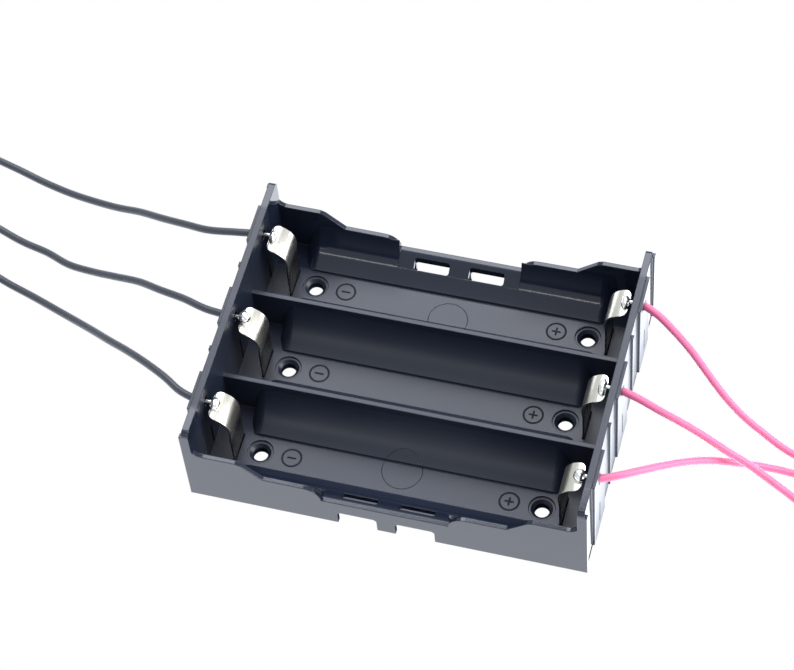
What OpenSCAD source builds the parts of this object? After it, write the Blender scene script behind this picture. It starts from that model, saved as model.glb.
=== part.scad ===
// Holder for three cylindrical cells side by side: a moulded tray with
// bent spring contacts at both ends, and one wire lead soldered to each contact.
// X runs along the cells, negative leads at -X; Y across the bays; Z up from the surface it rests on.

/* [Bays] */
// Distance between the centre lines of neighbouring bays
bay_pitch = 19.5; // [19.3:0.1:20]
// Thickness of the outer walls and of the dividers
wall_t = 0.9; // [0.7:0.1:1.1]
// Radius of the curved cradle under a cell
cradle_r = 9.45; // [9.4:0.05:9.6]
// Half width of the flat strip along the bottom of each cradle
strip_half = 3.5; // [3:0.1:4]

/* [Tray] */
// Overall length over the end pads
tray_l = 77.4; // [77:0.1:79]
// Height of the end walls
end_h = 21.4; // [21:0.1:22.5]
// Thickness of the end walls at the top
end_t = 1.35; // [1.2:0.05:1.5]
// Height of the floor's upper face
floor_z = 2.5; // [2.4:0.1:2.8]
// Height of the dividers
divider_h = 11.9; // [11.5:0.1:12.2]
// Height of the outer wall's rim beside the cell ends
rim_high = 14.3; // [14:0.1:14.8]
// Height of the outer wall's rim over most of its length
rim_mid = 10.3; // [10.2:0.1:10.6]
// Height of the outer wall's rim in the middle, where a finger lifts the cell
rim_low = 7; // [6.8:0.1:7.2]

/* [Contacts] */
// Width of a leaf contact
leaf_w = 6.2; // [5.5:0.1:6.4]
// Thickness of a leaf contact
leaf_t = 0.35; // [0.3:0.05:0.4]
// Distance from the end wall's inner face to the leaf's upright leg
leaf_back = 4.95; // [4.8:0.05:5.1]
// Radius of the leaf's rounded nose
nose_r = 4; // [3.8:0.1:4.1]

/* [Leads] */
// Diameter of a lead over its insulation
lead_d = 1.5; // [1.3:0.1:1.6]
// Diameter of the bare conductor
core_d = 0.8; // [0.6:0.1:0.9]
// Length of a lead from the wall to its stripped end
lead_l = 150; // [140:1:160]
// Radius at which a lead enters its coil
coil_r = 9; // [8.5:0.1:9.2]

/* [Hidden] */
$fn = 48;
eps = 0.01;
bays = ["back", "middle", "front"];
ends = ["neg", "pos"];
bay_y = [bay_pitch, 0, -bay_pitch];
end_sign = [-1, 1];

// Tray: widths and places that follow from the driving sizes
bay_half = (bay_pitch - wall_t) / 2;
side_in = bay_pitch + bay_half;
side_out = side_in + wall_t;
pad_t = 0.4;
end_foot = tray_l / 2 - pad_t;
end_top = end_foot - 0.2;
end_in = end_top - end_t;
cradle_z = floor_z + 9.3;
shell_t = 1.1;
floor_under = 1;
cradle_end = end_in - 5.75;
// Rounded lip that ends a cradle: its radius, how much of it is there, and how far out it leads
lip_round = 3;
lip_l = 2.9;
lip_r = cradle_r + lip_round - 0.02;
lip_shell = cradle_r + 2.4;
web_t = 1;
// Finger scoop on the outer side of the outer bays: a slope from the cradle up to the low rim
scoop_half = 12.3;
scoop_round = 3.2;
scoop_drop = 1.3;
scoop_slope = [
  [bay_half - 3.6, rim_low - 2.7], [bay_half - 0.9, rim_low - 0.55],
  [bay_half - 0.4, rim_low - 0.15], [bay_half, rim_low]];
// Openings low in the outer walls and in the cradle beside them
notch_x = [1.8, 9.4];
notch_h = 3.6;
notch_round = 0.8;
window_x = [2, 9.1];
window_y = [6.5, 8.4];
window_h = 7.5;
window_round = 0.5;
// Outline of the raised rim near the end walls
shoulder_x = end_in - 1.95;
shoulder_r = 2.35;
ramp_top = end_in - 9.35;
ramp_foot = ramp_top - 4;
ramp_edge = 1;
// Screw holes
screw_x = end_in - 9.15;
screw_d = 2.9;
sink_d = [4.2, 5.1];
sink_h = 0.4;
boss_d = 6.4;
// Details of the end walls
lead_z = 17.4;
lead_hole_d = 2.2;
pad_half = 4.2;
pad_drop = 0.4;
rib_w = 1;
rib_t = 0.3;
rib_drop = 0.6;
vent_w = 0.55;
vent_z = [2.2, 9];
corner_r = 1.2;
leaf_x = end_in - leaf_back;
foot_slot = [leaf_t + 0.2, leaf_w + 0.2];

// Leaf contact: its arch ends level under the bare conductor, as a tab to solder it to
arch_gap = 0.025;
tail_z = floor_under + 0.05;
nose_z = lead_z - core_d / 2 - arch_gap - leaf_t / 2 - nose_r;
leg_z = nose_z - 2.8;
nose_x = leaf_x - 0.2;
tab_x = nose_x + nose_r;
// Solder on the tab, and the reach of the bare conductor over it and into the wall's hole
solder_r = 1;
ball_r = 1.2;
solder_x = tab_x - 0.7;
core_in = solder_x - 0.5;
core_out = end_in + 0.4;

// Leads: points down from the wall to the surface and along it to each coil
lead_start = end_top + 0.3;
lead_rest = lead_d / 2;
route_neg_back = [
  [-lead_start, 19.5, lead_z], [-42.5, 19, 17.3], [-48, 19, 16.3], [-53.5, 20.5, 14.5], [-59, 22.5, 12],
  [-65, 25, 9], [-71, 27, 6], [-77, 29, 3.7], [-83, 31, 1.9], [-89, 33, 0.9],
  [-97, 35.5, lead_rest], [-107, 38, lead_rest], [-118, 39, lead_rest]];
route_neg_middle = [
  [-lead_start, 0, lead_z], [-42.5, 0.5, 17.3], [-48, 2.5, 16.3], [-53.5, 4.5, 14.5], [-59, 7, 12],
  [-65, 9, 9], [-71, 11, 6], [-77, 13, 3.7], [-83, 16, 1.9], [-89, 18, 0.9],
  [-97, 21, lead_rest], [-105, 24, lead_rest], [-114, 26, lead_rest]];
route_neg_front = [
  [-lead_start, -19.5, lead_z], [-42, -18.3, 17.3], [-46, -15.7, 16.8], [-51, -12.6, 15.4], [-56, -9.6, 13.4],
  [-61, -6.7, 11], [-66, -3.6, 8.4], [-71, -0.7, 6], [-76, 2, 4], [-82, 5, 2.1],
  [-88, 7.5, 0.95], [-94, 9.7, lead_rest], [-100, 10.5, lead_rest]];
route_pos_back = [
  [lead_start, 19.5, lead_z], [41.5, 18, 17.3], [45, 15.7, 16.6], [49, 13, 14.9], [53, 10, 12.5],
  [57, 7.3, 9.8], [61, 5.5, 7.1], [65, 4.3, 4.7], [69, 3.2, 2.6], [73.5, 2.3, 1.2],
  [78, 2.1, lead_rest], [83, 2.5, lead_rest]];
route_pos_middle = [
  [lead_start, 0, lead_z], [42, -1, 17.3], [46, -2.2, 16.6], [50, -2.9, 15.2], [54.5, -3.5, 13],
  [59, -4.3, 10.6], [63.5, -4.9, 8.1], [68, -6, 5.7], [72, -7.2, 3.8], [76.5, -9, 2.2],
  [81, -10.9, 1.1], [87, -12, lead_rest]];
route_pos_front = [
  [lead_start, -19.5, lead_z], [41.5, -18, 17.2], [45, -15.5, 16.1], [49, -12, 13.8], [53, -8.5, 11],
  [57, -5.7, 8.2], [61, -3.6, 5.5], [65, -2, 3.2], [70, -1, 1.4], [78, -1.6, lead_rest],
  [86, -2.6, lead_rest], [94, -3, lead_rest], [103, -3, lead_rest]];
routes = [
  [route_neg_back, route_neg_middle, route_neg_front],
  [route_pos_back, route_pos_middle, route_pos_front]];
// Which way each coil turns, seen from above: 1 anticlockwise, -1 clockwise
turns = [[-1, 1, 1], [1, -1, 1]];
// How much the coil closes in with each turn
coil_step = lead_d + 0.1;
tip_l = 5;
tip_lean = 35;

contact_nodes = [for (e = ends) for (b = bays) str("contact_", e, "_", b)];
solder_nodes = [for (e = ends) for (b = bays) str("solder_", e, "_", b)];
core_nodes = [for (e = ends) for (b = bays) str("core_", e, "_", b)];
lead_nodes = [for (e = ends) for (b = bays) str("lead_", e, "_", b)];
coil_nodes = [for (e = ends) for (b = bays) str("coil_", e, "_", b)];
tip_nodes = [for (e = ends) for (b = bays) str("tip_", e, "_", b)];

// Points along an arc in the plane of an outline
function arc(cx, cy, r, a0, a1, n) =
  [for (i = [0 : n]) let (a = a0 + (a1 - a0) * i / n) [cx + r * cos(a), cy + r * sin(a)]];
function dist(a, b) = norm(b - a);
function route_length(p, i = 0) = i >= len(p) - 1 ? 0 : dist(p[i], p[i + 1]) + route_length(p, i + 1);
// Turns that use up a length of lead in a flat spiral closing in from coil_r
function spiral_turns(l) = (coil_r - sqrt(coil_r * coil_r - coil_step * l / PI)) / coil_step;

// A block between two corners
module block(lo, hi) {
  translate(lo) cube([hi[0] - lo[0], hi[1] - lo[1], hi[2] - lo[2]]);
}

// An X-Z outline made solid from y0 to y1
module side_plate(points, y0, y1) {
  translate([0, y1, 0]) rotate([90, 0, 0]) linear_extrude(y1 - y0) polygon(points);
}

module rod_x(x0, x1, y, z, r) {
  translate([x0, y, z]) rotate([0, 90, 0]) cylinder(h = x1 - x0, r = r);
}

module both_ends() {
  children();
  mirror([1, 0, 0]) children();
}

module both_sides() {
  children();
  mirror([0, 1, 0]) children();
}

// Upper edge of an outer wall, from the middle out to the end wall
rim_half = concat(
  [[0, rim_low]],
  arc(scoop_half + scoop_round, rim_low, scoop_round, 180, 90, 6),
  [[ramp_foot, rim_mid], [ramp_top, rim_high - 0.4], [ramp_top + ramp_edge, rim_high]],
  arc(shoulder_x, rim_high + shoulder_r, shoulder_r, -90, -15, 5),
  [[end_in + 0.9, end_h]]);
side_outline = concat([[-end_in - 0.9, 0], [end_in + 0.9, 0]],
                      [for (i = [len(rim_half) - 1 : -1 : 0]) rim_half[i]],
                      [for (i = [1 : len(rim_half) - 1]) [-rim_half[i][0], rim_half[i][1]]]);

module side_walls() {
  both_sides() side_plate(side_outline, side_in, side_out);
}

module end_walls() {
  outline = [[end_in, 0], [end_foot, 0], [end_top, end_h], [end_in, end_h]];
  both_ends() side_plate(outline, -side_out, side_out);
}

// Pads at the bays and slim ribs between them on the outer face of an end wall
module end_relief() {
  both_ends() {
    for (y = bay_y)
      block([end_top - 0.5, y - pad_half, 0], [end_foot + pad_t, y + pad_half, end_h - pad_drop]);
    for (y = [-bay_pitch / 2, bay_pitch / 2])
      block([end_top - 0.5, y - rib_w / 2, 0], [end_foot + rib_t, y + rib_w / 2, end_h - rib_drop]);
    both_sides() block([end_top - 0.5, side_out - rib_w, 0], [end_foot + rib_t, side_out, end_h - corner_r]);
  }
}

// Block from which the bays are cut: it leaves the dividers and the cradle shells
module core_block() {
  block([-end_in - 0.5, -side_in - 0.3, 0], [end_in + 0.5, side_in + 0.3, rim_low]);
  block([-end_in - 0.5, -side_in, 0], [end_in + 0.5, side_in, divider_h]);
}

// Rounded lip at the +X end of a cradle
module lip(y) {
  translate([cradle_end - lip_l, y, cradle_z]) rotate([0, 90, 0]) rotate_extrude() difference() {
    square([lip_r, lip_l + eps]);
    translate([lip_r, 0]) circle(r = lip_round);
  }
}

// Room for one cell: curved cradle with rounded lips, flat strip, and a pocket for each contact
module bay_space(y) {
  intersection() {
    block([-end_in, y - bay_half, floor_z], [end_in, y + bay_half, end_h + 1]);
    union() {
      rod_x(-cradle_end, cradle_end, y, cradle_z, cradle_r);
      both_ends() lip(y);
      block([-cradle_end, y - strip_half, 0], [cradle_end, y + strip_half, cradle_z]);
      both_ends() block([cradle_end, y - bay_half - 1, 0], [end_in, y + bay_half + 1, end_h + 1]);
      block([-end_in, y - bay_half - 1, cradle_z], [end_in, y + bay_half + 1, end_h + 1]);
    }
  }
}

// All that lies above the scoop's slope, over a half length along X
module above_slope(half) {
  outline = concat([[0, end_h], scoop_slope[0] - [3, 0]], scoop_slope, [[bay_half, end_h]]);
  translate([-half, bay_pitch, 0]) rotate([90, 0, 90]) linear_extrude(2 * half) polygon(outline);
}

// Finger scoop that opens the middle of the outer bays toward the outer wall
module scoop() {
  above_slope(scoop_half);
  block([-scoop_half, bay_pitch, rim_low], [scoop_half, side_out + 1, end_h]);
}

// Hollow underside, leaving the cradle shells and the flat strips
module underside() {
  difference() {
    block([-cradle_end + web_t, -side_in, -1], [cradle_end - web_t, side_in, divider_h - 1.5]);
    for (y = bay_y) {
      rod_x(-cradle_end, cradle_end, y, cradle_z, cradle_r + shell_t);
      both_ends() rod_x(cradle_end - lip_l - web_t, cradle_end, y, cradle_z, lip_shell);
      block([-cradle_end, y - strip_half - shell_t, floor_under],
            [cradle_end, y + strip_half + shell_t, divider_h]);
      both_ends() translate([screw_x, y, -2]) cylinder(h = 5, d = boss_d);
    }
    both_sides() translate([0, 0, -scoop_drop]) above_slope(scoop_half + shell_t);
  }
  both_ends() block([cradle_end, -side_in, -1], [end_in, side_in, floor_under]);
}

module notches() {
  for (x = [-notch_x[1], notch_x[0]]) {
    w = notch_x[1] - notch_x[0];
    both_sides() translate([x, side_in - 0.05, 0]) {
      block([0, 0, -1], [w, wall_t + 1, notch_h - notch_round]);
      block([notch_round, 0, -1], [w - notch_round, wall_t + 1, notch_h]);
      for (cx = [notch_round, w - notch_round])
        translate([cx, 0, notch_h - notch_round]) rotate([-90, 0, 0]) cylinder(h = wall_t + 1, r = notch_round);
    }
  }
}

module windows() {
  r = window_round;
  y0 = bay_pitch + window_y[0];
  y1 = bay_pitch + window_y[1];
  both_ends() both_sides() {
    block([window_x[0] + r, y0, 0.5], [window_x[1] - r, y1, window_h]);
    block([window_x[0], y0 + r, 0.5], [window_x[1], y1 - r, window_h]);
    for (x = [window_x[0] + r, window_x[1] - r], y = [y0 + r, y1 - r])
      translate([x, y, 0.5]) cylinder(h = window_h - 0.5, r = r);
  }
}

// Screw hole with a shallow flat-bottomed recess round a small countersink
module screw_hole(x, y) {
  sink_z = floor_z - sink_h;
  sink_l = (sink_d[0] - screw_d) / 2;
  translate([x, y, -1]) cylinder(h = floor_z + 2, d = screw_d);
  translate([x, y, sink_z - sink_l]) cylinder(h = sink_l + eps, d1 = screw_d, d2 = sink_d[0] + 2 * eps);
  translate([x, y, sink_z]) cylinder(h = sink_h + 1, d = sink_d[1]);
}

// Openings of one contact: lead hole, slim vent, and slot for the leaf's foot
module end_openings(y) {
  rod_x(end_in - 1, end_foot + 2, y, lead_z, lead_hole_d / 2);
  block([end_in - 1, y - vent_w / 2, vent_z[0] + 0.3], [end_foot + 2, y + vent_w / 2, vent_z[1]]);
  slot_half = foot_slot / 2;
  block([leaf_x - slot_half[0], y - slot_half[1], -1], [leaf_x + slot_half[0], y + slot_half[1], floor_z + 1]);
}

// Rounds off the top outer corner of an end wall
module corner_cut() {
  difference() {
    block([end_in - 1, side_out - corner_r, end_h - corner_r], [end_foot + 1, side_out + 1, end_h + 1]);
    rod_x(end_in - 2, end_foot + 2, side_out - corner_r, end_h - corner_r, corner_r);
  }
}

module tray() {
  color([0.13, 0.14, 0.16]) difference() {
    union() {
      side_walls();
      end_walls();
      end_relief();
      core_block();
    }
    for (y = bay_y) bay_space(y);
    both_sides() scoop();
    underside();
    notches();
    windows();
    both_ends() for (y = bay_y) {
      screw_hole(screw_x, y);
      end_openings(y);
    }
    both_ends() both_sides() corner_cut();
  }
}

// Centre line of a leaf: up from the foot slot, then round the nose until it runs level toward the wall
leaf_line = concat([[leaf_x, tail_z], [leaf_x, leg_z]], arc(nose_x + nose_r, nose_z, nose_r, 180, 90, 12));
// Direction of the leaf at a point of its centre line, and the point moved sideways from it
function heading(p, i) = let (a = p[max(i - 1, 0)], b = p[min(i + 1, len(p) - 1)]) (b - a) / norm(b - a);
function aside(p, i, d) = p[i] + d * [-heading(p, i)[1], heading(p, i)[0]];
leaf_outline = concat([for (i = [0 : len(leaf_line) - 1]) aside(leaf_line, i, leaf_t / 2)],
                      [for (i = [len(leaf_line) - 1 : -1 : 0]) aside(leaf_line, i, -leaf_t / 2)]);

// Turns a shape made for the +X end round to the end it is for
module at_end(e) {
  mirror([end_sign[e] < 0 ? 1 : 0, 0, 0]) children();
}

module contact(e, b) {
  color([0.82, 0.82, 0.80]) at_end(e) side_plate(leaf_outline, bay_y[b] - leaf_w / 2, bay_y[b] + leaf_w / 2);
}

module core(e, b) {
  color([0.86, 0.84, 0.80]) at_end(e) rod_x(core_in, core_out, bay_y[b], lead_z, core_d / 2);
}

// Solder that ties the conductor to the tab; the middle negative one is a round ball
module solder(e, b) {
  r = e == 0 && b == 1 ? ball_r : solder_r;
  z = lead_z - 0.05 + (r - solder_r);
  under_leaf = concat([for (i = [0 : len(leaf_line) - 1]) aside(leaf_line, i, leaf_t / 2)], [[end_in, nose_z]]);
  color([0.80, 0.80, 0.80]) at_end(e) difference() {
    translate([solder_x, bay_y[b], z]) sphere(r = r);
    side_plate(under_leaf, bay_y[b] - leaf_w / 2, bay_y[b] + leaf_w / 2);
    rod_x(core_in, core_out, bay_y[b], lead_z, core_d / 2);
  }
}

function insulation(e) = e == 0 ? [0.27, 0.27, 0.31] : [1, 0.45, 0.62];
lead_sides = 8;
// One ring of points round the lead at point i of its route
function ring(p, i) =
  let (a = p[max(i - 1, 0)], b = p[min(i + 1, len(p) - 1)], t = (b - a) / norm(b - a),
       s = cross(t, [0, 0, 1]) / norm(cross(t, [0, 0, 1])), u = cross(s, t))
  [for (k = [0 : lead_sides - 1]) let (w = 360 * (k + 0.5) / lead_sides)
    p[i] + lead_d / 2 * (cos(w) * s + sin(w) * u)];

module lead(e, b) {
  p = routes[e][b];
  n = lead_sides;
  points = [for (i = [0 : len(p) - 1]) each ring(p, i)];
  sides = [for (i = [0 : len(p) - 2]) for (k = [0 : n - 1])
    [i * n + k, (i + 1) * n + k, (i + 1) * n + (k + 1) % n, i * n + (k + 1) % n]];
  first = [[for (k = [0 : n - 1]) k]];
  last = [[for (k = [n - 1 : -1 : 0]) (len(p) - 1) * n + k]];
  color(insulation(e)) polyhedron(points, concat(sides, first, last), convexity = 4);
}

// The coil closes in from the end of the route, and its centre lies square to the lead's last stretch
function coil_side(e, b) = end_sign[e] * turns[e][b];
function coil_centre(e, b) = let (p = routes[e][b][len(routes[e][b]) - 1]) [p[0], p[1] + coil_side(e, b) * coil_r];
function coil_turns(e, b) = spiral_turns(lead_l - route_length(routes[e][b]));

module coil(e, b) {
  inner = coil_r - coil_step * coil_turns(e, b) - lead_d / 2;
  width = coil_r + lead_d / 2 - inner;
  c = coil_centre(e, b);
  color(insulation(e)) translate([c[0], c[1], 0]) rotate_extrude() translate([inner, 0]) square([width, lead_d]);
}

// Stripped and tinned end, which leans in from the last turn
module tip(e, b) {
  c = coil_centre(e, b);
  n = coil_turns(e, b);
  r = coil_r - coil_step * n;
  a = -coil_side(e, b) * 90 + turns[e][b] * 360 * n;
  way = a + turns[e][b] * (90 + tip_lean);
  color([0.82, 0.80, 0.76]) translate([c[0] + r * cos(a), c[1] + r * sin(a), lead_rest])
    rotate([0, 90, way]) cylinder(h = tip_l, d = core_d);
}

tray();
for (e = [0, 1]) for (b = [0 : 2]) {
  k = 3 * e + b;
  contact(e, b);
  solder(e, b);
  core(e, b);
  lead(e, b);
  coil(e, b);
  tip(e, b);
}
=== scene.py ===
"""Holder for three cylindrical cells side by side: a black moulded tray, six sprung leaf contacts of
nickelled steel, and a lead soldered to each of them, on a white table."""

import math

import bmesh
import bpy
import numpy as np
from mathutils import Matrix, Vector


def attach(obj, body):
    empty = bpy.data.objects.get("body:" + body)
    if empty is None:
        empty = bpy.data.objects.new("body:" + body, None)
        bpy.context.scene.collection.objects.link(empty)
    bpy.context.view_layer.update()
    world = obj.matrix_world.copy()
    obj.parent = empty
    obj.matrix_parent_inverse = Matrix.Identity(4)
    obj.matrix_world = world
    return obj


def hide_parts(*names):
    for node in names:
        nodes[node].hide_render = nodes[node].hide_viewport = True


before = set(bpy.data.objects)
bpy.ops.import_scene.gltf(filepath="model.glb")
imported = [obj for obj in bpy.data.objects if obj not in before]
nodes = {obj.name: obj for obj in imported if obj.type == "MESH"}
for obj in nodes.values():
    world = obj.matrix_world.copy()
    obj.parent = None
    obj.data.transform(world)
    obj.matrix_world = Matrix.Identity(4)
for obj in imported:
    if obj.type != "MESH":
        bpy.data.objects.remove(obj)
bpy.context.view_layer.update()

# ---- Camera ------------------------------------------------------------------------------------
# A long lens looks down on the holder from in front of it and a little to its right, turned a few
# degrees about its own axis.

CAMERA_AT = (0.09447, -0.27087, 0.46230)
CAMERA_RIGHT = Vector((0.9649, 0.2558, -0.0595)).normalized()
CAMERA_UP = Vector((-0.1835, 0.8185, 0.5446))
CAMERA_LENS = 127.5

lens = bpy.data.cameras.new("camera")
lens.lens = CAMERA_LENS
lens.sensor_width = 36
lens.clip_start = 0.01
lens.clip_end = 20
camera = bpy.data.objects.new("camera", lens)
true_up = (CAMERA_UP - CAMERA_RIGHT * CAMERA_UP.dot(CAMERA_RIGHT)).normalized()
turned = Matrix((CAMERA_RIGHT, true_up, CAMERA_RIGHT.cross(true_up))).transposed()
camera.matrix_world = Matrix.Translation(CAMERA_AT) @ turned.to_4x4()
bpy.context.scene.collection.objects.link(camera)
bpy.context.scene.camera = camera

# ---- Leads -------------------------------------------------------------------------------------
# Six stranded hook-up wires in soft insulation, black at the negative ends and red at the positive.
# Each leaves the end wall level, sags to the table, and its spare length lies there in a flat coil
# that a twist of black wire holds together.

MM = 0.001
ENDS = {"neg": -1, "pos": 1}
BAY_PITCH = 19.5
BAYS = {"back": BAY_PITCH, "middle": 0.0, "front": -BAY_PITCH}
PLACES = [(end, bay) for end in ENDS for bay in BAYS]
LEAD_D = 1.5
LEAD_LENGTH = 150.0
LEAD_Z = 17.4
LEAD_START = 38.4
REST = LEAD_D / 2
COIL_R = 9.0
COIL_STEP = 1.6
ROUTES = {
    ("neg", "back"): [(-42.5, 19, 17.3), (-48, 19, 16.3), (-53.5, 20.5, 14.5), (-59, 22.5, 12),
                      (-65, 25, 9), (-71, 27, 6), (-77, 29, 3.7), (-83, 31, 1.9), (-89, 33, 0.9),
                      (-97, 35.5, REST), (-107, 38, REST), (-118, 39, REST)],
    ("neg", "middle"): [(-42.5, 0.5, 17.3), (-48, 2.5, 16.3), (-53.5, 4.5, 14.5), (-59, 7, 12),
                        (-65, 9, 9), (-71, 11, 6), (-77, 13, 3.7), (-83, 16, 1.9), (-89, 18, 0.9),
                        (-97, 21, REST), (-105, 24, REST), (-114, 26, REST)],
    ("neg", "front"): [(-42, -18.3, 17.3), (-46, -15.7, 16.8), (-51, -12.6, 15.4), (-56, -9.6, 13.4),
                       (-61, -6.7, 11), (-66, -3.6, 8.4), (-71, -0.7, 6), (-76, 2, 4), (-82, 5, 2.1),
                       (-88, 7.5, 0.95), (-94, 9.7, REST), (-100, 10.5, REST)],
    ("pos", "back"): [(41.5, 18, 17.3), (45, 15.7, 16.6), (49, 13, 14.9), (53, 10, 12.5),
                      (57, 7.3, 9.8), (61, 5.5, 7.1), (65, 4.3, 4.7), (69, 3.2, 2.6), (73.5, 2.3, 1.2),
                      (78, 2.1, REST), (83, 2.5, REST)],
    ("pos", "middle"): [(42, -1, 17.3), (46, -2.2, 16.6), (50, -2.9, 15.2), (54.5, -3.5, 13),
                        (59, -4.3, 10.6), (63.5, -4.9, 8.1), (68, -6, 5.7), (72, -7.2, 3.8), (76.5, -9, 2.2),
                        (81, -10.9, 1.1), (87, -12, REST)],
    ("pos", "front"): [(41.5, -18, 17.2), (45, -15.5, 16.1), (49, -12, 13.8), (53, -8.5, 11),
                       (57, -5.7, 8.2), (61, -3.6, 5.5), (65, -2, 3.2), (70, -1, 1.4), (78, -1.6, REST),
                       (86, -2.6, REST), (94, -3, REST), (103, -3, REST)],
}
COIL_TURNS = {("neg", "back"): -1, ("neg", "middle"): 1, ("neg", "front"): 1,
              ("pos", "back"): 1, ("pos", "middle"): -1, ("pos", "front"): 1}
ROUTE_STEPS = 8
COIL_STEPS = 36
STRANDS_D = 0.8
TIP_LENGTH = 5.0
TIP_LEAN = math.radians(35)
STRANDS = 7
STRAND_LAY = 5.0
LOBE_DEPTH = 0.20
TIE_AT = math.radians(100)
TIE_R = 0.25
TIE_LIFT = 0.32
TIE_SLACK = 0.05
TIE_ENDS = (3.5, 0.8)
TIE_ENDS_R = 0.34
TIE_FOOT = 0.4


def smooth_path(points, steps):
    """Curve through the points: each stretch is the cubic whose slope at a point is the mean of the
    two directions that meet there, each weighed by the length of the other stretch."""
    p = np.asarray(points, float)
    before = np.vstack([2 * p[0] - p[1], p[:-1]])
    after = np.vstack([p[1:], 2 * p[-1] - p[-2]])
    gap_in = np.linalg.norm(p - before, axis=1, keepdims=True)
    gap_out = np.linalg.norm(after - p, axis=1, keepdims=True)
    slope = ((p - before) / gap_in * gap_out + (after - p) / gap_out * gap_in) / (gap_in + gap_out)
    gap = gap_out[:-1, None]
    t = (np.arange(steps) / steps)[None, :, None]
    curve = ((2 * t**3 - 3 * t**2 + 1) * p[:-1, None] + (t**3 - 2 * t**2 + t) * gap * slope[:-1, None]
             + (3 * t**2 - 2 * t**3) * p[1:, None] + (t**3 - t**2) * gap * slope[1:, None])
    return np.vstack([curve.reshape(-1, 3), p[-1:]])


def grid(rings, loop=False):
    """Points and faces of a skin over rings of points, set out along a path. Each ring is closed; the
    path is closed too if it is a loop, and otherwise its first and last ring are filled."""
    count, around = rings.shape[:2]
    index = np.arange(count * around).reshape(count, around)
    here = index if loop else index[:-1]
    there = np.roll(index, -1, axis=0) if loop else index[1:]
    quads = np.stack([here, np.roll(here, -1, axis=1), np.roll(there, -1, axis=1), there], axis=-1)
    ends = [] if loop else [index[0].tolist(), index[-1].tolist()]
    return rings.reshape(-1, 3), quads.reshape(-1, 4).tolist() + ends


def piece(name, parts, body, crease=50):
    """One mesh object, in metres, from parts in millimetres as grid gives them. Its faces point
    outwards, and edges sharper than the crease angle stay sharp."""
    starts = np.cumsum([0] + [len(points) for points, _ in parts])
    points = np.vstack([points for points, _ in parts]) * MM
    faces = [[i + start for i in face] for (_, some), start in zip(parts, starts) for face in some]
    mesh = bpy.data.meshes.new(name)
    mesh.from_pydata(points, [], faces)
    shape = bmesh.new()
    shape.from_mesh(mesh)
    bmesh.ops.recalc_face_normals(shape, faces=shape.faces)
    shape.to_mesh(mesh)
    shape.free()
    mesh.shade_smooth()
    mesh.set_sharp_from_angle(angle=math.radians(crease))
    obj = bpy.data.objects.new(name, mesh)
    bpy.context.scene.collection.objects.link(obj)
    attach(obj, body)
    return obj


def across(path):
    """Two directions square to a path that is nowhere upright: sideways and upwards, at every point."""
    along = np.gradient(path, axis=0)
    along /= np.linalg.norm(along, axis=1, keepdims=True)
    side = np.cross(along, [0, 0, 1])
    side /= np.linalg.norm(side, axis=1, keepdims=True)
    return side, np.cross(side, along)


def strands(path, radius):
    """Twisted bare strands: at angle a the radius swells to a rounded lobe over each strand, and the
    lobes turn with the distance along the path. The first and last rings are drawn in to close them."""
    side, up = across(path)
    distance = np.concatenate([[0], np.cumsum(np.linalg.norm(np.diff(path, axis=0), axis=1))])
    angle = np.linspace(0, 2 * np.pi, 6 * STRANDS, endpoint=False)
    lobe = np.abs(np.cos(STRANDS / 2 * (angle[None] - 2 * np.pi * distance[:, None] / STRAND_LAY)))
    reach = np.minimum(distance, distance[-1] - distance) / (0.5 * radius)
    draw_in = np.sqrt(np.clip(1 - (1 - np.minimum(reach, 1))**2, 0.02, 1))[:, None]
    r = radius * (1 - LOBE_DEPTH + LOBE_DEPTH * lobe) * draw_in
    sideways = (r * np.cos(angle))[..., None] * side[:, None]
    upwards = (r * np.sin(angle))[..., None] * up[:, None]
    return grid(path[:, None] + sideways + upwards)


def lead_route(end, bay):
    """Centre line of a lead in millimetres: the free stretch, then a flat spiral that closes in by
    COIL_STEP a turn until the length is used up. Also gives the coil's centre, and its radius and
    angle at the end."""
    sign, turn = ENDS[end], COIL_TURNS[end, bay]
    route = np.array([(sign * LEAD_START, BAYS[bay], LEAD_Z)] + ROUTES[end, bay])
    centre = route[-1] + np.array([0, sign * turn * COIL_R, 0])
    spare = LEAD_LENGTH - np.linalg.norm(np.diff(route, axis=0), axis=1).sum()
    laps = (COIL_R - math.sqrt(COIL_R**2 - COIL_STEP * spare / math.pi)) / COIL_STEP
    lap = np.linspace(0, laps, int(COIL_STEPS * laps))[1:]
    angle = -sign * turn * np.pi / 2 + turn * 2 * np.pi * lap
    radius = COIL_R - COIL_STEP * lap
    coil = centre + np.column_stack([radius * np.cos(angle), radius * np.sin(angle), np.zeros(len(lap))])
    return np.vstack([smooth_path(route, ROUTE_STEPS), coil]), centre, radius[-1], angle[-1]


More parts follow.
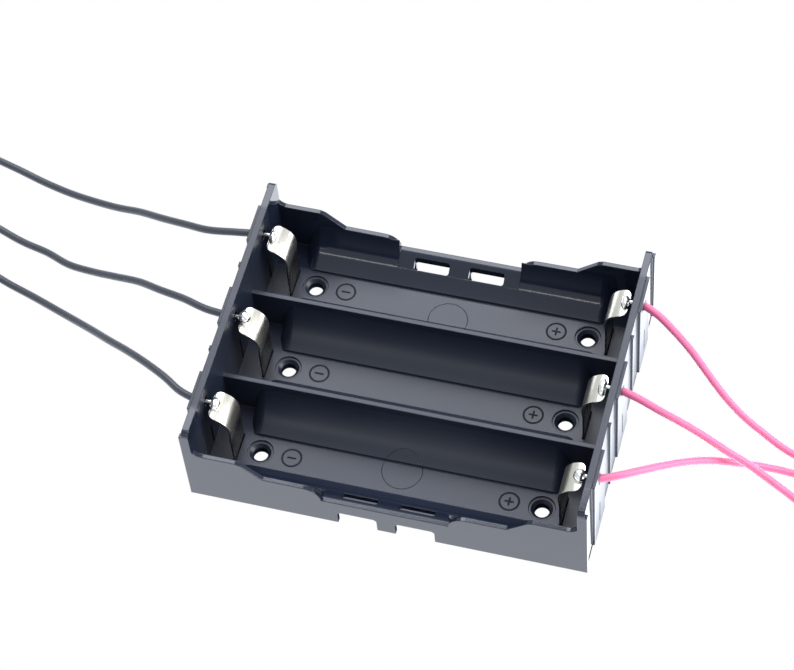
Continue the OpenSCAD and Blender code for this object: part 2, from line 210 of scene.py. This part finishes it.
def tie(centre, inner):
    """Twist of thin wire round the coil's turns: a flattened loop in the upright plane through the
    coil's centre, carrying a small round section, with two twisted ends that stand off it."""
    outward = np.array([math.cos(TIE_AT), math.sin(TIE_AT), 0])
    middle = (inner + COIL_R + LEAD_D / 2) / 2
    half = (COIL_R + LEAD_D / 2 - inner) / 2 + TIE_R
    a = np.linspace(0, 2 * np.pi, 48, endpoint=False)
    flat = np.sign(np.cos(a)) * np.abs(np.cos(a))**0.5 * half
    rise = np.sign(np.sin(a)) * np.abs(np.sin(a))**0.7 * (REST + TIE_SLACK)
    lift = np.column_stack([0 * a, 0 * a, rise + TIE_LIFT])
    path = centre + (middle + flat)[:, None] * outward + lift
    along = np.roll(path, -1, axis=0) - np.roll(path, 1, axis=0)
    along /= np.linalg.norm(along, axis=1, keepdims=True)
    side = np.cross(outward, [0, 0, 1])
    up = np.cross(side, along)
    b = np.linspace(0, 2 * np.pi, 10, endpoint=False)
    section = np.cos(b)[None, :, None] * side + np.sin(b)[None, :, None] * up[:, None]
    foot = centre + (middle + half) * outward + np.array([0, 0, TIE_FOOT - REST])
    ends = foot + np.linspace(0, 1, 24)[:, None] * (TIE_ENDS[0] * outward + TIE_ENDS[1] * side)
    return [grid(path[:, None] + TIE_R * section, loop=True), strands(ends, TIE_ENDS_R)]


tips = {}
wires = {}
ties = {}
for end, bay in PLACES:
    line, centre, last_r, last_a = lead_route(end, bay)
    turn = COIL_TURNS[end, bay]
    heading = last_a + turn * (np.pi / 2 + TIP_LEAN)
    tip_way = np.array([math.cos(heading), math.sin(heading), 0])
    tip_line = line[-1] + np.linspace(-0.2, TIP_LENGTH, 60)[:, None] * tip_way
    bare_end = strands(tip_line, STRANDS_D / 2)
    tips[end, bay] = piece(f"stripped_{end}_{bay}", [bare_end], "holder")
    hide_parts(f"tip_{end}_{bay}")
    twist = tie(centre, last_r - LEAD_D / 2)
    ties[end, bay] = piece(f"tie_{end}_{bay}", twist, "holder")

    curve = bpy.data.curves.new(f"wire_{end}_{bay}", "CURVE")
    curve.dimensions = "3D"
    curve.bevel_depth = 1.0
    curve.bevel_resolution = 5
    curve.use_fill_caps = True
    spline = curve.splines.new("POLY")
    spline.points.add(len(line) - 1)
    spline.points.foreach_set("co", np.column_stack([line * MM, np.ones(len(line))]).ravel())
    spline.use_smooth = True
    # Blender adds a point's radius, in metres, to a curve's box, so the thickness is in the radius
    spline.points.foreach_set("radius", np.full(len(line), LEAD_D / 2 * MM))
    wire = bpy.data.objects.new(curve.name, curve)
    bpy.context.scene.collection.objects.link(wire)
    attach(wire, "holder")
    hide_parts(f"lead_{end}_{bay}", f"coil_{end}_{bay}")
    wires[end, bay] = wire


def new_material(name):
    """Material with its node tree, its shader, and a short way to add a node with its settings."""
    material = bpy.data.materials.new(name)
    material.use_nodes = True
    tree = material.node_tree

    def add(kind, inputs=(), **settings):
        node = tree.nodes.new(kind)
        for key, value in settings.items():
            setattr(node, key, value)
        for key, value in dict(inputs).items():
            node.inputs[key].default_value = value
        return node

    return material, tree.links.new, tree.nodes["Principled BSDF"], add


def dress(obj, material):
    """One material all over a piece."""
    obj.data.materials.clear()
    obj.data.materials.append(material)


def insulation_material(name, colour, roughness):
    """Extruded insulation: the colour wavers a little, and low swellings follow the strands under it."""
    material, link, shader, add = new_material(name)
    where = add("ShaderNodeTexCoord").outputs["Object"]
    waver = add("ShaderNodeTexNoise", {"Scale": 420.0, "Detail": 3.0})
    skin = add("ShaderNodeTexNoise", {"Scale": 2400.0, "Detail": 2.0})
    link(where, waver.inputs["Vector"])
    link(where, skin.inputs["Vector"])
    tone = add("ShaderNodeMix", data_type="RGBA")
    tone.inputs[6].default_value = (*[0.80 * c for c in colour], 1)
    tone.inputs[7].default_value = (*colour, 1)
    link(waver.outputs["Fac"], tone.inputs[0])
    link(tone.outputs[2], shader.inputs["Base Color"])
    swell = add("ShaderNodeBump", {"Strength": 0.35, "Distance": 0.00006})
    link(waver.outputs["Fac"], swell.inputs["Height"])
    fine = add("ShaderNodeBump", {"Strength": 0.10, "Distance": 0.00002})
    link(skin.outputs["Fac"], fine.inputs["Height"])
    link(swell.outputs["Normal"], fine.inputs["Normal"])
    link(fine.outputs["Normal"], shader.inputs["Normal"])
    shader.inputs["Roughness"].default_value = roughness
    return material


def metal_material(name, colour, polish, scale, stretch=(1, 1, 1), relief=0.15):
    """Bright metal: fine marks, drawn out by the stretch, change its polish and its surface a little."""
    material, link, shader, add = new_material(name)
    place = add("ShaderNodeMapping", {"Scale": stretch})
    link(add("ShaderNodeTexCoord").outputs["Object"], place.inputs["Vector"])
    marks = add("ShaderNodeTexNoise", {"Scale": scale, "Detail": 4.0})
    link(place.outputs["Vector"], marks.inputs["Vector"])
    rough = add("ShaderNodeMapRange", {"To Min": polish[0], "To Max": polish[1]})
    link(marks.outputs["Fac"], rough.inputs["Value"])
    link(rough.outputs["Result"], shader.inputs["Roughness"])
    bump = add("ShaderNodeBump", {"Strength": relief, "Distance": 0.00003})
    link(marks.outputs["Fac"], bump.inputs["Height"])
    link(bump.outputs["Normal"], shader.inputs["Normal"])
    shader.inputs["Base Color"].default_value = (*colour, 1)
    shader.inputs["Metallic"].default_value = 1.0
    return material


black_insulation = insulation_material("black_insulation", (0.044, 0.048, 0.062), 0.40)
red_insulation = insulation_material("red_insulation", (0.80, 0.165, 0.33), 0.42)
tinned_copper = metal_material("tinned_copper", (0.80, 0.77, 0.71), (0.20, 0.34), 3000.0, (0.1, 1, 1))
for end, bay in PLACES:
    dress(wires[end, bay], black_insulation if end == "neg" else red_insulation)
    dress(ties[end, bay], black_insulation)
    dress(tips[end, bay], tinned_copper)

# ---- Tray --------------------------------------------------------------------------------------
# One injection moulding in black plastic with a satin skin: faint flow marks run along it, the
# cradles' outer sides are more polished than the rest, and every edge is a little rounded.

POLISHED_FROM = (0.0228, 0.0240)
EDGE_ROUNDING = 0.00022


def moulding_material(name, dark, light, polish, outer_polish=1.0):
    """Satin black plastic: flow marks along X vary its tone and polish, over a fine spark-eroded grain.
    Further out than POLISHED_FROM along Y, the roughness drops to its share outer_polish."""
    material, link, shader, add = new_material(name)
    where = add("ShaderNodeTexCoord").outputs["Object"]
    along = add("ShaderNodeMapping", {"Scale": (0.25, 1, 1)})
    link(where, along.inputs["Vector"])
    flow = add("ShaderNodeTexNoise", {"Scale": 130.0, "Detail": 4.0})
    link(along.outputs["Vector"], flow.inputs["Vector"])
    grain = add("ShaderNodeTexNoise", {"Scale": 2600.0, "Detail": 3.0})
    link(where, grain.inputs["Vector"])
    tone = add("ShaderNodeMix", data_type="RGBA")
    tone.inputs[6].default_value = (*dark, 1)
    tone.inputs[7].default_value = (*light, 1)
    link(flow.outputs["Fac"], tone.inputs[0])
    link(tone.outputs[2], shader.inputs["Base Color"])
    rough = add("ShaderNodeMapRange", {"To Min": polish[0], "To Max": polish[1]})
    link(flow.outputs["Fac"], rough.inputs["Value"])
    axes = add("ShaderNodeSeparateXYZ")
    link(where, axes.inputs["Vector"])
    from_middle = add("ShaderNodeMath", operation="ABSOLUTE")
    link(axes.outputs["Y"], from_middle.inputs[0])
    share = add("ShaderNodeMapRange", {"From Min": POLISHED_FROM[0], "From Max": POLISHED_FROM[1],
                                       "To Min": 1.0, "To Max": outer_polish})
    link(from_middle.outputs["Value"], share.inputs["Value"])
    polished = add("ShaderNodeMath", operation="MULTIPLY")
    link(rough.outputs["Result"], polished.inputs[0])
    link(share.outputs["Result"], polished.inputs[1])
    link(polished.outputs["Value"], shader.inputs["Roughness"])
    edge = add("ShaderNodeBevel", {"Radius": EDGE_ROUNDING}, samples=6)
    bump = add("ShaderNodeBump", {"Strength": 0.14, "Distance": 0.00002})
    link(grain.outputs["Fac"], bump.inputs["Height"])
    link(edge.outputs["Normal"], bump.inputs["Normal"])
    link(bump.outputs["Normal"], shader.inputs["Normal"])
    return material


black_plastic = moulding_material("black_plastic", (0.007, 0.010, 0.021), (0.013, 0.018, 0.034),
                                  (0.30, 0.44), outer_polish=0.22)
dress(nodes["tray"], black_plastic)

# ---- Marks on the tray floor -------------------------------------------------------------------
# Fine moulded lines: a ringed minus or plus beside each screw hole, for the way the cell goes in,
# and the witness ring of an ejector pin in the middle of the two outer bays.

FLOOR_Z = 2.5
CRADLE_R = 9.45
CRADLE_Z = FLOOR_Z + 9.3
STRIP_HALF = 3.5
SIGN_X = 21.3
SIGN_R = 1.85
SIGN_BAR = 0.95
SIGN_LINE = (0.20, 0.10)
PIN_PLACES = ((0.0, 17.4), (0.0, -17.6))
PIN_R = 3.9
PIN_LINE = (0.09, 0.05)


def surface_height(y):
    """Height of the bay's inner surface at Y: the flat strip, and the cradle's arc beside it."""
    off = np.abs((np.asarray(y, float) + BAY_PITCH / 2) % BAY_PITCH - BAY_PITCH / 2)
    arc = CRADLE_Z - np.sqrt(CRADLE_R**2 - np.minimum(off, 0.95 * CRADLE_R)**2)
    return np.where(off < STRIP_HALF, FLOOR_Z, arc)


def ridge(path, line, loop=False):
    """Low moulded line: a flat oval section, of half width and height as the line says, is carried
    along a path on the tray's surface."""
    along = np.roll(path, -1, axis=0) - np.roll(path, 1, axis=0) if loop else np.gradient(path, axis=0)
    along /= np.linalg.norm(along, axis=1, keepdims=True)
    side = np.cross(along, [0, 0, 1])
    side /= np.linalg.norm(side, axis=1, keepdims=True)
    up = np.cross(side, along)
    taper = np.ones(len(path))
    if not loop:
        taper = np.sqrt(np.clip(1 - np.linspace(-1, 1, len(path))**8, 0.03, 1))
    a = np.linspace(0, 2 * np.pi, 12, endpoint=False)
    wide = (taper[:, None] * line[0] * np.cos(a))[..., None]
    high = (taper[:, None] * line[1] * np.sin(a))[..., None]
    return grid(path[:, None] + wide * side[:, None] + high * up[:, None], loop)


def ring_path(x, y, r, count):
    """Circle round (x, y), laid on the tray's surface."""
    a = np.linspace(0, 2 * np.pi, count, endpoint=False)
    return np.column_stack([x + r * np.cos(a), y + r * np.sin(a), surface_height(y + r * np.sin(a))])


def bar_path(x, y, dx, dy):
    """Straight line on the strip, from one side of (x, y) to the other."""
    t = np.linspace(-1, 1, 24)
    return np.column_stack([x + dx * t, y + dy * t, np.full(24, FLOOR_Z)])


sign_lines = []
for y in BAYS.values():
    for sign in ENDS.values():
        sign_lines.append(ridge(ring_path(sign * SIGN_X, y, SIGN_R, 72), SIGN_LINE, loop=True))
        sign_lines.append(ridge(bar_path(sign * SIGN_X, y, SIGN_BAR, 0), SIGN_LINE))
    sign_lines.append(ridge(bar_path(SIGN_X, y, 0, SIGN_BAR), SIGN_LINE))
signs = piece("polarity_signs", sign_lines, "holder")
moulded_line = moulding_material("moulded_line", (0.002, 0.003, 0.006), (0.003, 0.004, 0.008),
                                 (0.75, 0.85))
dress(signs, moulded_line)

pin_lines = [ridge(ring_path(x, y, PIN_R, 144), PIN_LINE, loop=True) for x, y in PIN_PLACES]
pins = piece("ejector_rings", pin_lines, "holder")
dress(pins, black_plastic)

# ---- Leaf contacts -----------------------------------------------------------------------------
# Strips of nickelled spring steel: the foot stands in a slot in the floor, the leg rises, the nose
# bulges toward the cell, and the end runs level under the wire as a tab to solder it to.

LEAF_W = 6.2
LEAF_T = 0.35
LEG_X = 31.8
NOSE_X = 31.6
NOSE_R = 4.0
NOSE_Z = 12.8
FOOT_Z = 1.05
LEG_Z = 10.0
TAB_CORNER = 1.3
LEAF_EDGE = 0.08
# Painted shade on the leaf's leg: the share of its colour left there, and the heights over which it fades
# back to full.
LEG_SHADE = 0.28
SHADE_FADE_Z = (0.0095, 0.0130)


def paint_leg_shade(material):
    """Darkens the metal's colour downwards: a painted shade on the leg, while nose and tab keep full colour.
    """
    tree = material.node_tree
    where = tree.nodes.new("ShaderNodeTexCoord")
    axes = tree.nodes.new("ShaderNodeSeparateXYZ")
    tree.links.new(where.outputs["Object"], axes.inputs["Vector"])
    shade_fade = tree.nodes.new("ShaderNodeMapRange")
    for key, value in zip(("From Min", "From Max"), SHADE_FADE_Z):
        shade_fade.inputs[key].default_value = value
    tree.links.new(axes.outputs["Z"], shade_fade.inputs["Value"])
    shader = tree.nodes["Principled BSDF"]
    tone = tree.nodes.new("ShaderNodeMix")
    tone.data_type = "RGBA"
    full = shader.inputs["Base Color"].default_value[:]
    tone.inputs[6].default_value = (*[LEG_SHADE * c for c in full[:3]], 1)
    tone.inputs[7].default_value = full
    tree.links.new(shade_fade.outputs["Result"], tone.inputs[0])
    tree.links.new(tone.outputs[2], shader.inputs["Base Color"])


def leaf(sign, y):
    """A rounded oblong section, carried along the leaf's centre line. The strip is narrowed at the
    tab's end by a quarter circle at each corner."""
    a = np.radians(np.linspace(180, 90, 12))
    nose = np.column_stack([NOSE_X + NOSE_R + NOSE_R * np.cos(a), 0 * a, NOSE_Z + NOSE_R * np.sin(a)])
    leg = np.array([(LEG_X, 0, FOOT_Z), (LEG_X, 0, 4.0), (LEG_X, 0, 7.0), (LEG_X, 0, LEG_Z)])
    path = smooth_path(np.vstack([leg, nose]), 6)
    distance = np.concatenate([[0], np.cumsum(np.linalg.norm(np.diff(path, axis=0), axis=1))])
    marks = np.concatenate([np.linspace(0, distance[-1] - TAB_CORNER, 70),
                            distance[-1] - TAB_CORNER * (1 - np.sin(np.linspace(0.1, np.pi / 2, 14)))])
    path = np.column_stack([np.interp(marks, distance, path[:, k]) for k in range(3)])
    along = np.gradient(path, axis=0)
    along /= np.linalg.norm(along, axis=1, keepdims=True)
    out = np.cross(along, [0, 1, 0])
    past = np.clip(marks - (distance[-1] - TAB_CORNER), 0, TAB_CORNER)
    half = LEAF_W / 2 - (TAB_CORNER - np.sqrt(TAB_CORNER**2 - past**2))
    corner = np.radians(np.linspace(0, 90, 5))
    turn = np.concatenate([corner + k * np.pi / 2 for k in range(4)])
    side_sign = np.repeat([1, -1, -1, 1], 5)
    face_sign = np.repeat([1, 1, -1, -1], 5)
    wide = side_sign * (half[:, None] - LEAF_EDGE) + LEAF_EDGE * np.cos(turn)
    thick = face_sign * (LEAF_T / 2 - LEAF_EDGE) + LEAF_EDGE * np.sin(turn)
    rings = path[:, None] + wide[..., None] * np.array([0, 1, 0]) + thick[None, :, None] * out[:, None]
    return grid(rings * [sign, 1, 1] + [0, y, 0])


nickel = metal_material("nickel", (0.78, 0.745, 0.66), (0.22, 0.34), 700.0, (1, 0.12, 1))
# Painted shade darkens the leg of every leaf.
paint_leg_shade(nickel)
for end, bay in PLACES:
    strip = leaf(ENDS[end], BAYS[bay])
    contact = piece(f"leaf_{end}_{bay}", [strip], f"spring_{end}_{bay}", crease=30)
    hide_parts(f"contact_{end}_{bay}")
    dress(contact, nickel)

# ---- Solder joints -----------------------------------------------------------------------------
# The bare strands come through the wall's hole and are sunk in a hand-made blob of solder on the tab:
# a round ball on one, low and lumpy on the others.

TAB_TOP = NOSE_Z + NOSE_R + LEAF_T / 2
BLOB_X = 34.9
CORE_IN = 34.5
CORE_OUT = 37.15
STRANDS_R = 0.36
# For each blob: half lengths along X, Y and Z, its height over the tab, and its lumps' depth and
# phase. The wide ones are short along X, so that they clear the end wall when the leaf gives.
BLOBS = {
    ("neg", "back"): (0.82, 1.55, 0.92, 0.25, 0.14, 0.4),
    ("neg", "middle"): (1.25, 1.30, 1.25, 0.72, 0.03, 1.0),
    ("neg", "front"): (0.90, 1.45, 1.05, 0.28, 0.13, 2.1),
    ("pos", "back"): (0.92, 1.55, 0.97, 0.28, 0.11, 3.3),
    ("pos", "middle"): (0.90, 1.70, 0.88, 0.25, 0.13, 4.6),
    ("pos", "front"): (1.15, 1.30, 1.08, 0.45, 0.08, 5.2),
}


def blob(sign, y, size, height, lumps, phase):
    """Rounded lump: an ellipsoid whose radius waves with both of its angles, closed by tiny rings at
    its lowest and highest points."""
    v = np.linspace(-np.pi / 2 + 0.03, np.pi / 2 - 0.03, 28)[:, None]
    u = np.linspace(0, 2 * np.pi, 40, endpoint=False)[None]
    r = 1 + lumps * np.cos(v) * (np.sin(2 * u + phase) + 0.6 * np.sin(3 * u + 2 * v + 2 * phase)
                                 + 0.4 * np.sin(5 * u - 3 * v + 3 * phase)) / 2
    ball = np.stack([r * np.cos(v) * np.cos(u), r * np.cos(v) * np.sin(u), r * np.sin(v) + 0 * u], axis=-1)
    return grid((ball * size + [BLOB_X, 0, TAB_TOP + height]) * [sign, 1, 1] + [0, y, 0])


def soldered_strands(sign, y):
    """Bare strands from inside the wall's hole into the blob, a little bowed upwards."""
    points = [(CORE_IN, 0, TAB_TOP + 0.35), (35.4, 0.05, LEAD_Z + 0.08),
              (36.2, 0.08, LEAD_Z + 0.12), (CORE_OUT, 0, LEAD_Z)]
    path = smooth_path(np.array(points), 14) * [sign, 1, 1] + [0, y, 0]
    return strands(path, STRANDS_R)


bright_solder = metal_material("solder", (0.90, 0.90, 0.88), (0.14, 0.26), 1300.0, relief=0.2)
for end, bay in PLACES:
    *size, height, lumps, phase = BLOBS[end, bay]
    body = f"spring_{end}_{bay}"
    lump = blob(ENDS[end], BAYS[bay], size, height, lumps, phase)
    joint = piece(f"joint_{end}_{bay}", [lump], body)
    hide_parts(f"solder_{end}_{bay}")
    dress(joint, bright_solder)
    core = soldered_strands(ENDS[end], BAYS[bay])
    bare = piece(f"bare_{end}_{bay}", [core], body)
    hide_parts(f"core_{end}_{bay}")
    dress(bare, tinned_copper)

# ---- Table and lights --------------------------------------------------------------------------
# A white table that runs out of sight, with a grey patch in the tray's shade. Broad lights at the
# back, above and on the right give the sheen; a narrow one in front draws a line along the cradles.

TABLE_HALF = 1.5
TABLE_SHEEN = (2.2, 5.5)
SHEEN_FROM = (0.038, 0.046)
TRAY_HALF = (0.0385, 0.0295)
SHADE_BOX = (-0.0135, -0.0272, 0.0135, -0.0165)
SHADE_Z = 0.00003
SHADE_SEEN = (0.14, 0.145, 0.18, 1)
AMBIENT = 0.75


def flat_sheet(name, box, z):
    """Level oblong of the stage, from its corners."""
    x0, y0, x1, y1 = box
    mesh = bpy.data.meshes.new(name)
    mesh.from_pydata([(x0, y0, z), (x1, y0, z), (x1, y1, z), (x0, y1, z)], [], [(0, 1, 2, 3)])
    obj = bpy.data.objects.new(name, mesh)
    bpy.context.scene.collection.objects.link(obj)
    return obj


def table_material():
    """White to the camera. To reflections it glows: a painted light for a lit table, brighter on the right,
    and painted shade under the tray, where the glow is cut off. To other light it is a plain white surface
    that passes it on."""
    material, link, shader, add = new_material("table_white")
    shader.inputs["Base Color"].default_value = (0.9, 0.9, 0.9, 1)
    shader.inputs["Roughness"].default_value = 0.9
    rays = add("ShaderNodeLightPath")
    seen = add("ShaderNodeEmission", {"Color": (1, 1, 1, 1), "Strength": 1.0})
    mirrored = add("ShaderNodeEmission", {"Color": (0.88, 0.92, 1, 1)})
    axes = add("ShaderNodeSeparateXYZ")
    link(add("ShaderNodeTexCoord").outputs["Object"], axes.inputs["Vector"])
    # Painted light: the glow seen in reflections grows toward the right.
    glare = add("ShaderNodeMapRange", {"From Min": SHEEN_FROM[0], "From Max": SHEEN_FROM[1],
                                       "To Min": TABLE_SHEEN[0], "To Max": TABLE_SHEEN[1]})
    link(axes.outputs["X"], glare.inputs["Value"])
    # Painted shade: the glow is cut off under the tray's footprint.
    beyond = []
    for axis, half in zip("XY", TRAY_HALF):
        size = add("ShaderNodeMath", operation="ABSOLUTE")
        link(axes.outputs[axis], size.inputs[0])
        past = add("ShaderNodeMath", operation="GREATER_THAN")
        link(size.outputs["Value"], past.inputs[0])
        past.inputs[1].default_value = half
        beyond.append(past)
    outside = add("ShaderNodeMath", operation="MAXIMUM")
    link(beyond[0].outputs["Value"], outside.inputs[0])
    link(beyond[1].outputs["Value"], outside.inputs[1])
    uncovered = add("ShaderNodeMath", operation="MULTIPLY")
    link(outside.outputs["Value"], uncovered.inputs[0])
    link(glare.outputs["Result"], uncovered.inputs[1])
    link(uncovered.outputs["Value"], mirrored.inputs["Strength"])
    sheen = add("ShaderNodeMixShader")
    link(rays.outputs["Is Glossy Ray"], sheen.inputs["Fac"])
    link(shader.outputs["BSDF"], sheen.inputs[1])
    link(mirrored.outputs["Emission"], sheen.inputs[2])
    view = add("ShaderNodeMixShader")
    link(rays.outputs["Is Camera Ray"], view.inputs["Fac"])
    link(sheen.outputs["Shader"], view.inputs[1])
    link(seen.outputs["Emission"], view.inputs[2])
    link(view.outputs["Shader"], material.node_tree.nodes["Material Output"].inputs["Surface"])
    return material


table = flat_sheet("table", (-TABLE_HALF, -TABLE_HALF, TABLE_HALF, TABLE_HALF), 0)
dress(table, table_material())
shade = flat_sheet("table_in_shade", SHADE_BOX, SHADE_Z)
shaded_white, link, shader, add = new_material("shaded_white")
shader.inputs["Base Color"].default_value = (0.42, 0.44, 0.48, 1)
shader.inputs["Roughness"].default_value = 0.9
shader.inputs["Emission Color"].default_value = SHADE_SEEN
link(add("ShaderNodeLightPath").outputs["Is Camera Ray"], shader.inputs["Emission Strength"])
dress(shade, shaded_white)

world = bpy.data.worlds.new("studio")
bpy.context.scene.world = world
world.use_nodes = True
world_nodes = world.node_tree.nodes
world_link = world.node_tree.links.new
world_nodes.clear()
backdrop = world_nodes.new("ShaderNodeBackground")
backdrop.inputs["Color"].default_value = (1, 1, 1, 1)
ambient = world_nodes.new("ShaderNodeBackground")
ambient.inputs["Color"].default_value = (0.90, 0.95, 1, 1)
ambient.inputs["Strength"].default_value = AMBIENT
world_rays = world_nodes.new("ShaderNodeLightPath")
world_mix = world_nodes.new("ShaderNodeMixShader")
world_out = world_nodes.new("ShaderNodeOutputWorld")
world_link(world_rays.outputs["Is Camera Ray"], world_mix.inputs["Fac"])
world_link(ambient.outputs["Background"], world_mix.inputs[1])
world_link(backdrop.outputs["Background"], world_mix.inputs[2])
world_link(world_mix.outputs["Shader"], world_out.inputs["Surface"])


def softbox(name, place, size, power, colour):
    """Oblong soft light that faces the holder."""
    lamp = bpy.data.lights.new(name, "AREA")
    lamp.shape = "RECTANGLE"
    lamp.size, lamp.size_y = size
    lamp.energy = power
    lamp.color = colour
    obj = bpy.data.objects.new(name, lamp)
    obj.location = place
    obj.rotation_euler = (-Vector(place)).to_track_quat("-Z", "Y").to_euler()
    bpy.context.scene.collection.objects.link(obj)


softbox("light_back", (-0.12, 0.70, 0.83), (0.9, 0.5), 8.6, (0.89, 0.92, 1))
softbox("light_above", (0.05, 0.08, 1.1), (0.8, 0.35), 2.6, (0.89, 0.92, 1))
softbox("light_right", (0.75, 0.1, 0.45), (0.5, 0.7), 8.0, (1, 0.98, 0.96))
softbox("light_front", (-0.22, -0.84, 0.64), (1.0, 0.03), 0.7, (0.95, 0.97, 1))

bpy.context.scene.view_settings.view_transform = "Standard"

bpy.context.view_layer.update()
